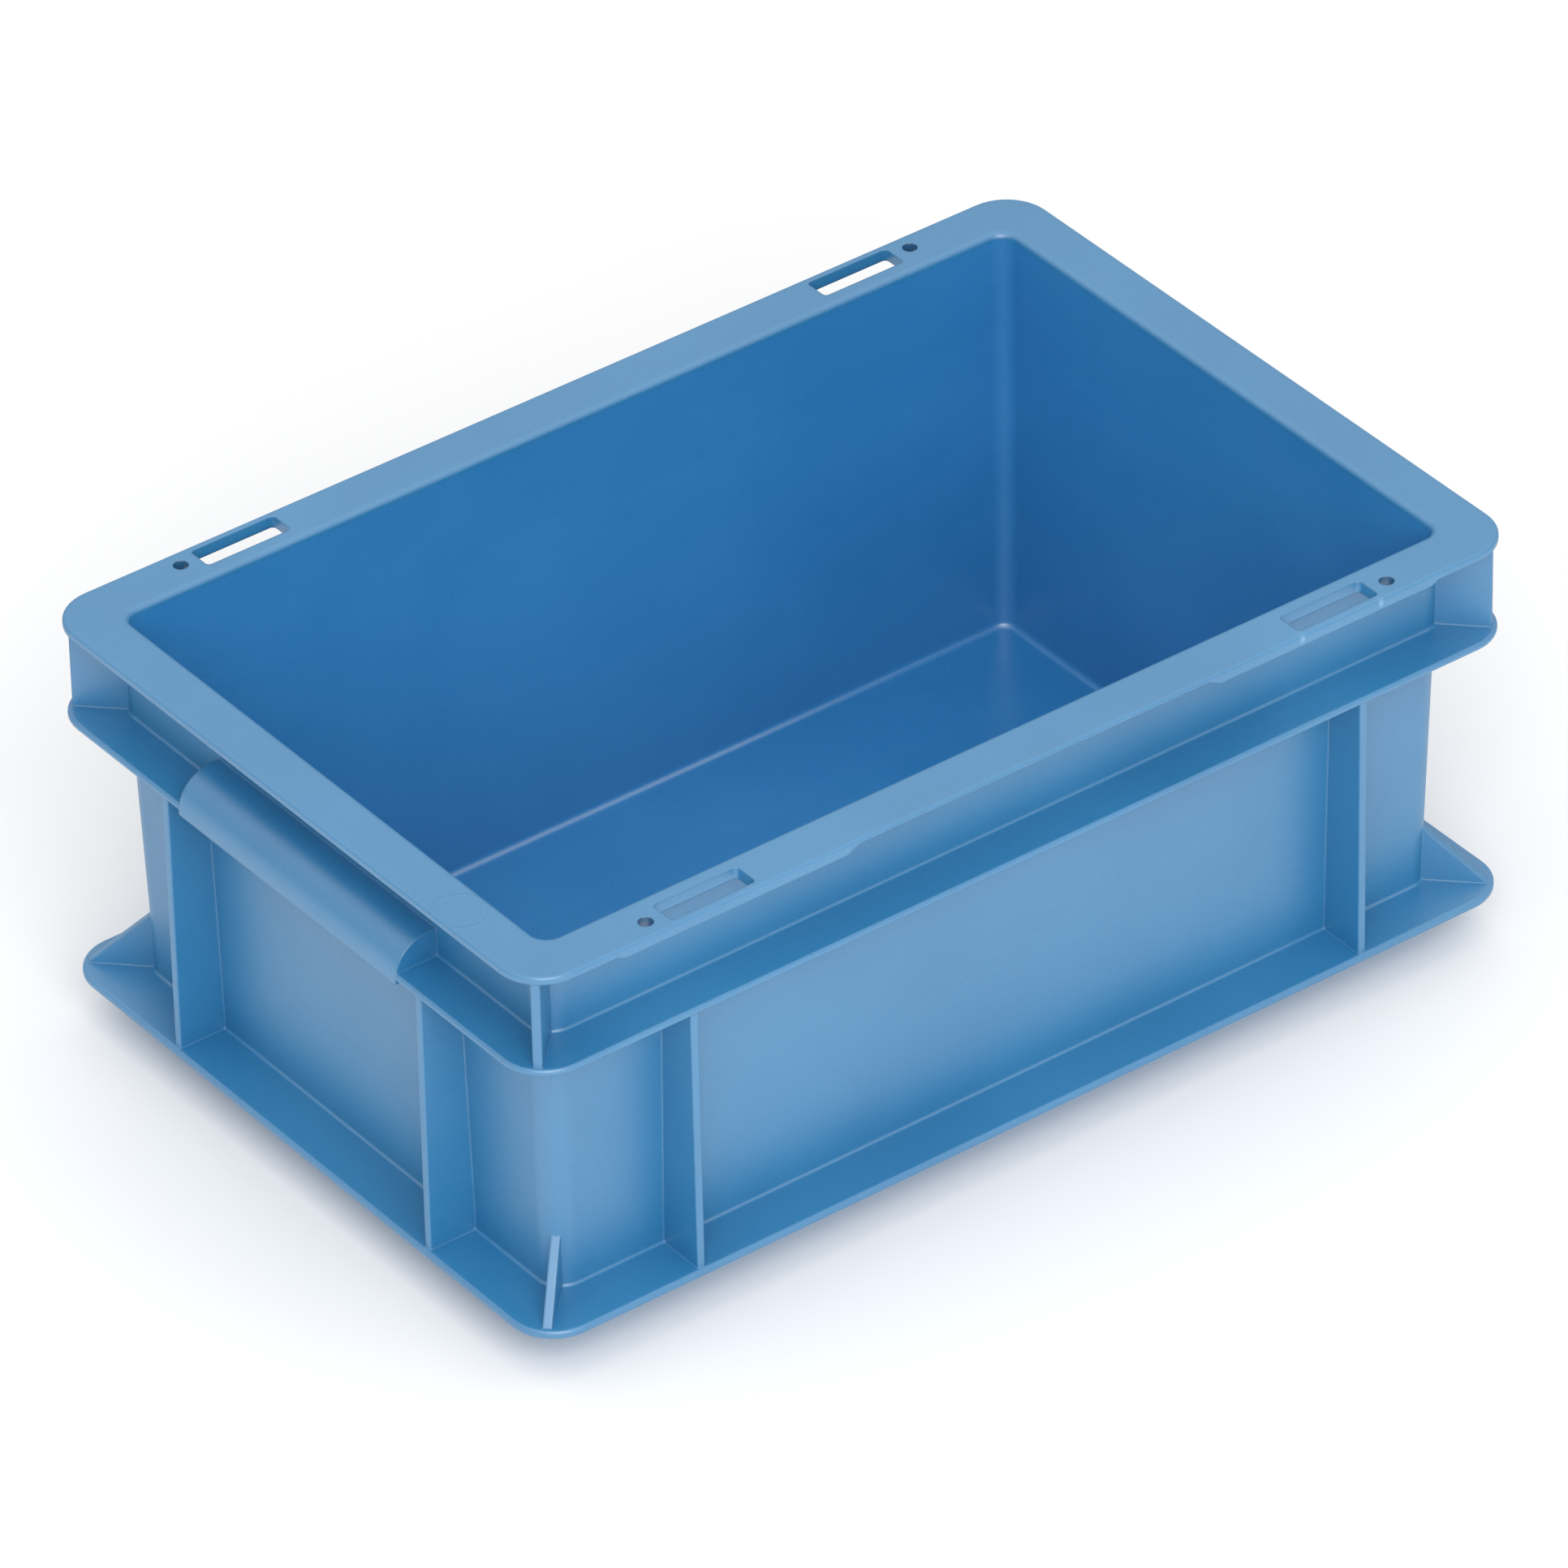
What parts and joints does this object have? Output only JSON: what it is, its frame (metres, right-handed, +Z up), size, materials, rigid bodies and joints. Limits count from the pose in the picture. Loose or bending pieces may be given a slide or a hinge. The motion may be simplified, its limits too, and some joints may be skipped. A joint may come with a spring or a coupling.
{
  "type": "stacking transport container",
  "caption": "Open-topped stacking transport container with a foot that drops into the rim below, ribbed walls, two grip shells and slotted rim.",
  "frame": {"origin": "middle of the underside of the foot", "axes": "+X along the length, +Y across, +Z up to the rim"},
  "size_m": [0.3, 0.2, 0.12],
  "materials": {
    "blue_plastic": "fine satin moulded polypropylene"
  },
  "bodies": {
    "root": {"container": "blue_plastic"}
  },
  "joints": []
}
